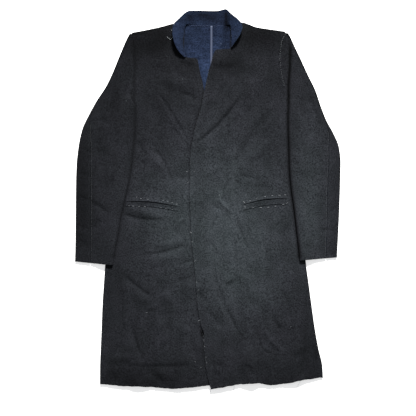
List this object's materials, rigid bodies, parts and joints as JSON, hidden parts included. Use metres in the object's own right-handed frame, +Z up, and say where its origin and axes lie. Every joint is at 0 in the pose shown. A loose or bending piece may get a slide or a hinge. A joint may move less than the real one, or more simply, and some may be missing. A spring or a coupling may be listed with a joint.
{
  "type": "chesterfield coat",
  "caption": "Knee-length wool coat laid flat on its back, front closed left over right, collar band open, sleeves folded down along the sides.",
  "frame": {"origin": "middle of the surface the coat lies on, under the centre of its box", "axes": "+Z up off the surface, +Y along the coat from hem to collar, +X towards the wearer's left side"},
  "size_m": [0.7296, 1.0441, 0.0269],
  "materials": {
    "outer_wool": "milled black wool face with a soft nap",
    "inner_wool": "milled navy wool face with a soft nap",
    "seam_tape": "pale blue bonded tape"
  },
  "bodies": {
    "root": {"front_right": "outer_wool", "front_left": "outer_wool", "back_right": "outer_wool", "back_left": "outer_wool", "sleeve_upper_right": "outer_wool", "sleeve_under_right": "outer_wool", "sleeve_upper_left": "outer_wool", "sleeve_under_left": "outer_wool", "pocket_strip_upper_right": "outer_wool", "pocket_strip_lower_right": "outer_wool", "pocket_strip_upper_left": "outer_wool", "pocket_strip_lower_left": "outer_wool", "collar": "inner_wool", "back_seam_tape": "seam_tape"}
  },
  "joints": []
}
